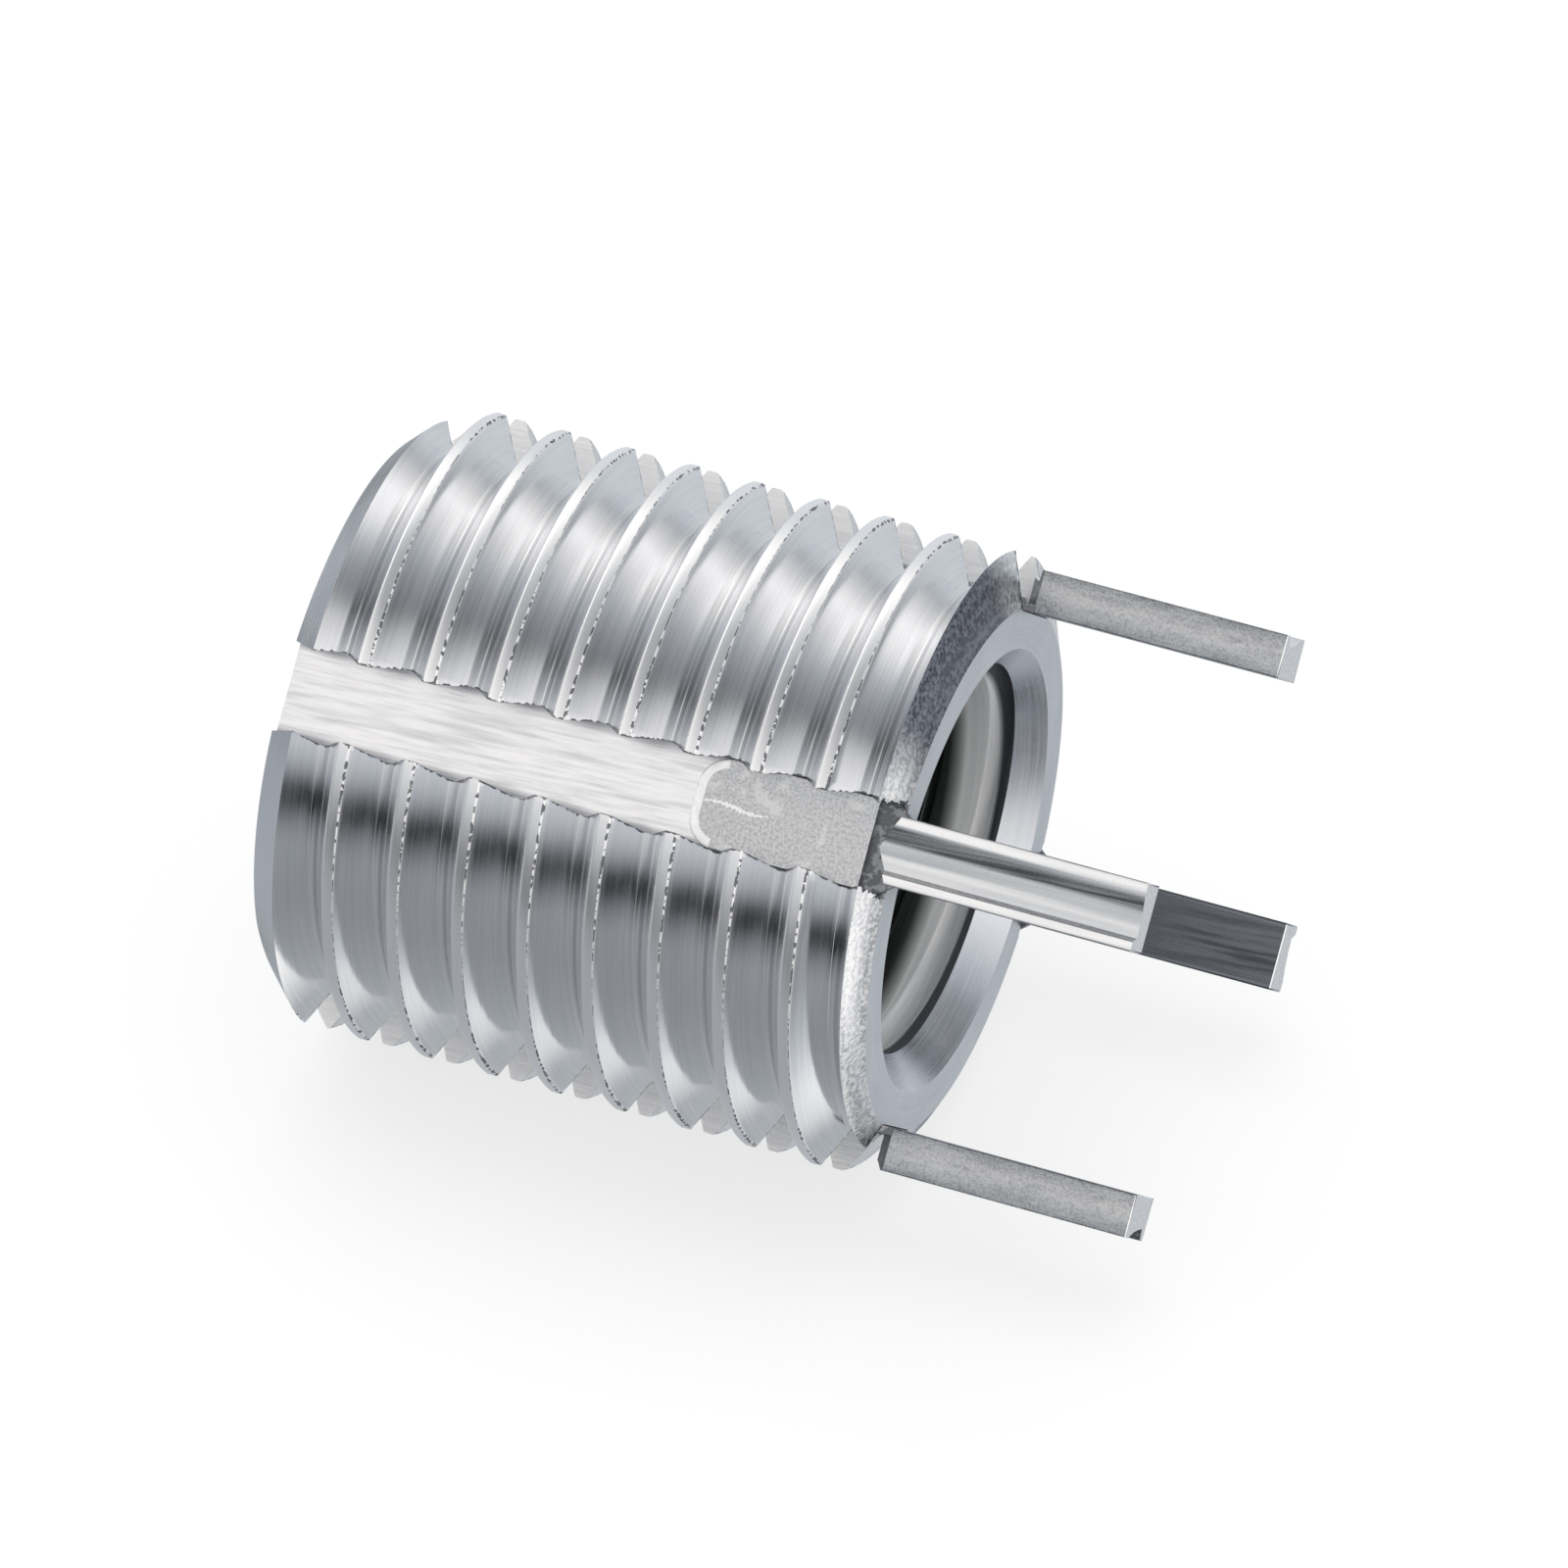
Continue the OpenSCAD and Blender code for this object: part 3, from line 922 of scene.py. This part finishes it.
def footSteel(looks):
    material, tree, shader, place = newSteel("footSteel")
    calc = calculator(tree)
    grain = useGroup(tree, "grain", place, Fineness=looks["fineness"])
    scuffs = useGroup(tree, "grain", place, Fineness=looks["scuffFineness"])
    x, y, z, radius = splitPlace(tree, place)
    sizes = scratchSizes
    along = mapped(tree, z, sizes["low"], sizes["high"])
    taper = calc("SINE", calc("MULTIPLY", along, math.pi))
    bow = calc("MULTIPLY", calc("SINE", calc("MULTIPLY", along, math.tau)), sizes["bow"] / 2)
    line = calc("ADD", mapped(tree, along, 0.0, 1.0, sizes["startSide"], sizes["endSide"]), bow)
    aside = calc("ABSOLUTE", calc("SUBTRACT", x, line))
    width = calc("MULTIPLY", taper, mapped(tree, grain["Grain"], 0.35, 0.6, 0.0, sizes["halfWidth"]))
    inside = calc("LESS_THAN", aside, width)
    scratch = calc("MULTIPLY", inside, calc("LESS_THAN", y, 0.0))
    grey = mixed(tree, mapped(tree, grain["Grain"], 0.38, 0.62), looks["low"], looks["high"])
    scuffed = mixed(tree, calc("MULTIPLY", scuffs["Pits"], 0.35), grey, looks["scuff"])
    tree.links.new(mixed(tree, scratch, scuffed, looks["scratch"]), shader.inputs["Base Color"])
    tree.links.new(mapped(tree, grain["Grain"], 0.35, 0.65, 0.3, 0.48), shader.inputs["Roughness"])
    bumped(tree, shader, calc("ADD", grain["Grain"], scratch), 0.012 * mm)
    return material


# Struck and torn edges with painted light: a painted highlight on the rim of the foot's tip, and painted
# shade in the torn neck above the foot
rimAndNeckLooks = {
    "rimHighlight": {"low": (0.95, 0.95, 0.955), "high": (0.99, 0.99, 0.99), "fineness": 9.0, "height": 0.004 * mm},
    "neckShade": {"low": (0.13, 0.135, 0.15), "high": (0.34, 0.35, 0.37), "fineness": 6.0, "height": 0.03 * mm},
}


# one grained steel whose colours carry the rim's painted highlight and the neck's painted shade
def rimAndNeckSteel(name, low, high, fineness, height):
    material, tree, shader, place = newSteel(name)
    grain = useGroup(tree, "grain", place, Fineness=fineness)
    torn = mapped(tree, grain["Grain"], 0.5, 0.6)
    tree.links.new(mixed(tree, torn, low, high), shader.inputs["Base Color"])
    tree.links.new(mapped(tree, grain["Grain"], 0.35, 0.65, 0.3, 0.5), shader.inputs["Roughness"])
    bumped(tree, shader, grain["Grain"], height)
    return material


# Gives a piece its materials: the first everywhere, and each other one where its test holds
def dress(piece, first, others):
    piece.data.materials.clear()
    piece.data.materials.append(first)
    for index, (material, test) in enumerate(others, start=1):
        piece.data.materials.append(material)
        pick(piece, "FACE", test)
        piece.active_material_index = index
        bpy.ops.object.material_slot_assign()
        done()


# How far the normal of a cone's wall points along the axis, from the wall's width and its length
def coneLean(width, length):
    return width / math.hypot(width, length)


# Tells the sleeve's faces apart by where they lie and how they lean
def dressSleeve(sizes):
    floor = sizes["crestRadius"] - sizes["slotDepth"]
    near = 0.01 * mm
    nearLean = 0.03
    sunkWidth = sizes["mouthRadius"] - sizes["boreRadius"]
    sunkLean = coneLean(sunkWidth, sunkWidth)
    plainLean = coneLean(sizes["crestRadius"] - sizes["plainRingRadius"], sizes["plainChamferLength"])
    keyLean = coneLean(sizes["crestRadius"] - sizes["keyEndRingRadius"], sizes["keyChamferLength"])

    def inBore(middle, normal):
        return math.hypot(middle.x, middle.y) < sizes["mouthRadius"]

    def turned(middle, normal):
        radius = math.hypot(middle.x, middle.y)
        inMouth = sizes["boreRadius"] < radius < sizes["mouthRadius"]
        sunk = inMouth and abs(abs(normal.z) - sunkLean) < nearLean
        low = middle.z < sizes["plainChamferLength"] and abs(normal.z + plainLean) < nearLean
        return abs(normal.z) > 0.99 or sunk or (low and radius > sizes["plainRingRadius"])

    def onChamfer(middle, normal):
        radius = math.hypot(middle.x, middle.y)
        return radius > sizes["keyEndRingRadius"] and abs(normal.z - keyLean) < nearLean

    def inSlot(middle, normal):
        outward = max(abs(middle.x), abs(middle.y))
        aside = min(abs(middle.x), abs(middle.y))
        half = sizes["slotMouthWidth"] / 2 + slotSlope * (sizes["crestRadius"] - outward)
        return aside < half + near and outward > floor - near

    dress(sleeve, threadSteel(threadLooks), [
        (boreSteel(boreLooks), inBore),
        (turnedSteel(turnedLooks), turned),
        (groundSteel(groundLooks), onChamfer),
        (slotSteel(slotLooks), inSlot),
    ])


# Tells each key's faces apart by its own outward direction, away from the axis
def dressKeys(sizes):
    bladeStart = footTop + sizes["notchLength"]
    steels = {name: bladeSteel(name + "Steel", **looks) for name, looks in bladeLooks.items()}
    steels["foot"] = footSteel(footLooks)
    for name, looks in rimAndNeckLooks.items():
        steels[name] = rimAndNeckSteel(name + "Steel", **looks)

    for index, key in enumerate(keys):
        turn = math.radians(180 + 90 * index)
        outwards = Vector((-math.sin(turn), math.cos(turn), 0))

        def onSide(middle, normal):
            return abs(normal.dot(outwards)) < 0.5 and abs(normal.z) < 0.5

        def onInside(middle, normal):
            return normal.dot(outwards) < -0.9

        def onFoot(middle, normal):
            return middle.z < footTop + 0.01 * mm

        def onRim(middle, normal):
            raised = middle.dot(outwards) > keyInner + sizes["footThickness"] - 0.7 * sizes["rimHeight"]
            atTip = middle.z < footBottom + sizes["footTipRound"]
            return raised and atTip and normal.dot(outwards) > 0.6

        def onNeck(middle, normal):
            low = middle.dot(outwards) < keyInner + sizes["webThickness"] + 0.02 * mm
            return footTop - 0.005 * mm < middle.z < bladeStart + 0.2 * mm and (low or normal.z < -0.3)

        dress(key, steels["channel"], [
            (steels["side"], onSide),
            (steels["inside"], onInside),
            (steels["foot"], onFoot),
            # painted highlight on the rim, painted shade in the neck
            (steels["rimHighlight"], onRim),
            (steels["neckShade"], onNeck),
        ])


dressSleeve(bodySizes)
dressKeys(keySizes)
print("materials placed")


# The table lies against the sleeve's side, as in the picture
stageSizes = {
    "tableUp": Vector((-0.705, -0.709, 0)).normalized(),
    "tableGap": 0.01 * mm,
    "tableSize": 3.0,
    "tableGlow": 0.7,
    "tentRadius": 1.4,
    "worldLight": 0.9,
}
tableUp = stageSizes["tableUp"]
tableFront = tableUp.cross(Vector((0, 0, -1)))  # towards the camera, level with the table
sleeveMiddle = Vector((0, 0, bodyLength / 2))


# An empty material for the stage
def newMaterial(name):
    material = bpy.data.materials.new(name)
    material.use_nodes = True
    material.node_tree.nodes.clear()
    return material


def tableMaterial():
    material = newMaterial("tableWhite")
    nodes, links = material.node_tree.nodes, material.node_tree.links
    diffuse = nodes.new("ShaderNodeBsdfDiffuse")
    diffuse.inputs["Color"].default_value = (0.95, 0.95, 0.96, 1)
    glow = nodes.new("ShaderNodeEmission")
    glow.inputs["Color"].default_value = (1, 1, 1, 1)
    mix = nodes.new("ShaderNodeMixShader")
    mix.inputs["Fac"].default_value = stageSizes["tableGlow"]
    links.new(diffuse.outputs[0], mix.inputs[1])
    links.new(glow.outputs[0], mix.inputs[2])
    clear = nodes.new("ShaderNodeBsdfTransparent")
    sides = nodes.new("ShaderNodeMixShader")
    geometry = nodes.new("ShaderNodeNewGeometry")
    links.new(geometry.outputs["Backfacing"], sides.inputs["Fac"])
    links.new(mix.outputs[0], sides.inputs[1])
    links.new(clear.outputs[0], sides.inputs[2])
    output = nodes.new("ShaderNodeOutputMaterial")
    links.new(sides.outputs[0], output.inputs["Surface"])
    return material


def addTable():
    place = tableUp * -(bodySizes["crestRadius"] + stageSizes["tableGap"]) + sleeveMiddle
    bpy.ops.mesh.primitive_plane_add(size=stageSizes["tableSize"], location=place)
    table = named("table")
    table.rotation_euler = tableUp.to_track_quat("Z", "Y").to_euler()
    table.data.materials.append(tableMaterial())
    table.visible_glossy = False


# What the steel reflects: a round tent of white cloth, with grey gaps at the horizon and overhead.
# Each stop is (angle from the camera's side over the top, in degrees, brightness)
tentStops = {
    "left": [
        (-180, 0.75), (-165, 0.5), (-146, 0.2), (-120, 0.4), (-105, 0.62), (-75, 0.32), (-50, 0.36),
        (-22, 0.5), (-9, 0.26), (-2, 0.02), (5, 0.05), (13, 0.5), (24, 0.75), (45, 1.15), (68, 1.2),
        (80, 0.95), (92, 0.3), (103, 0.4), (114, 0.6), (123, 1.1), (133, 2.2), (143, 2.6), (151, 1.8),
        (159, 0.8), (167, 0.5), (180, 0.75),
    ],
    "middle": [
        (-180, 0.72), (-160, 0.75), (-140, 0.6), (-118, 0.55), (-95, 0.5), (-70, 0.42), (-45, 0.36),
        (-15, 0.36), (-6, 0.2), (0, 0.02), (7, 0.05), (16, 0.5), (42, 1.08), (60, 0.9), (72, 0.45),
        (84, 0.12), (92, 0.2), (106, 0.38), (118, 0.6), (128, 0.82), (146, 1.3), (158, 0.85),
        (170, 0.55), (180, 0.7),
    ],
    "right": [
        (-180, 0.5), (-162, 0.6), (-135, 0.9), (-115, 1.5), (-100, 1.4), (-85, 0.7), (-68, 0.2),
        (-50, 0.35), (-30, 0.9), (20, 1.2), (60, 1.3), (100, 1.1), (130, 0.7), (150, 0.3), (165, 0.25),
        (180, 0.5),
    ],
}

# Where one part of the tent gives way to the next, along the insert's axis from -1 to 1
tentSeams = {"middle": (-0.58, -0.3), "right": (0.42, 0.66)}


def rampNode(nodes, stops):
    ramp = nodes.new("ShaderNodeValToRGB")
    elements = ramp.color_ramp.elements
    while len(elements) < len(stops):
        elements.new(0.5)
    for element, (angle, level) in zip(elements, stops):
        element.position = (angle + 180) / 360
        blue = 0.045 if level < 0.8 else -0.02  # greys are a little blue, lights a little warm
        element.color = (level * (1 - blue), level, level * (1 + blue), 1)
    return ramp


def tentMaterial():
    material = newMaterial("tentCloth")
    tree = material.node_tree
    calc = calculator(tree)
    place = tree.nodes.new("ShaderNodeTexCoord").outputs["Object"]

    def along(direction):
        node = tree.nodes.new("ShaderNodeVectorMath")
        node.operation = "DOT_PRODUCT"
        tree.links.new(place, node.inputs[0])
        node.inputs[1].default_value = direction / stageSizes["tentRadius"]
        return node.outputs["Value"]

    angle = calc("ARCTAN2", along(tableUp), along(tableFront))
    share = calc("MULTIPLY_ADD", angle, 1 / math.tau, 0.5)
    sideways = along(Vector((0, 0, 1)))
    colours = {}
    for name, stops in tentStops.items():
        ramp = rampNode(tree.nodes, stops)
        tree.links.new(share, ramp.inputs["Fac"])
        colours[name] = ramp.outputs["Color"]
    colour = colours["left"]
    for name, seam in tentSeams.items():
        colour = mixed(tree, mapped(tree, sideways, *seam), colour, colours[name])
    glow = tree.nodes.new("ShaderNodeEmission")
    tree.links.new(colour, glow.inputs["Color"])
    output = tree.nodes.new("ShaderNodeOutputMaterial")
    tree.links.new(glow.outputs[0], output.inputs["Surface"])
    return material


def addTent():
    bpy.ops.mesh.primitive_ico_sphere_add(subdivisions=4, radius=stageSizes["tentRadius"])
    tent = named("tent")
    tent.data.materials.append(tentMaterial())
    tent.visible_camera = False
    tent.visible_shadow = False
    tent.visible_diffuse = False


# A white world, bright where it is seen and softer where it lights
def addWorld():
    world = bpy.data.worlds.new("studio")
    bpy.context.scene.world = world
    world.use_nodes = True
    tree = world.node_tree
    calc = calculator(tree)
    path = tree.nodes.new("ShaderNodeLightPath").outputs
    seen = calc("ADD", path["Is Camera Ray"], path["Is Glossy Ray"])
    seen = calc("ADD", seen, path["Is Transmission Ray"])
    background = tree.nodes["Background"]
    background.inputs["Color"].default_value = (1, 1, 1, 1)
    level = mapped(tree, seen, 0.0, 1.0, stageSizes["worldLight"], 1.0)
    tree.links.new(level, background.inputs["Strength"])


# The lamp above the table, a little behind the insert and to its plain end
lampSizes = {
    "direction": (tableUp * 0.95 - tableFront * 0.1 + Vector((0, 0, -0.1))).normalized(),
    "distance": 0.7,
    "side": 0.6,
    "power": 1.8,
}


def addLamp(sizes):
    direction = sizes["direction"]
    bpy.ops.object.light_add(type="AREA", location=sleeveMiddle + direction * sizes["distance"])
    lamp = bpy.context.active_object
    lamp.name = "topBox"
    lamp.data.shape = "SQUARE"
    lamp.data.size = sizes["side"]
    lamp.data.energy = sizes["power"]
    lamp.visible_glossy = False
    lamp.rotation_euler = direction.to_track_quat("Z", "Y").to_euler()


addTable()
addTent()
addWorld()
addLamp(lampSizes)
print("stage built")

bpy.context.scene.view_settings.view_transform = "Standard"
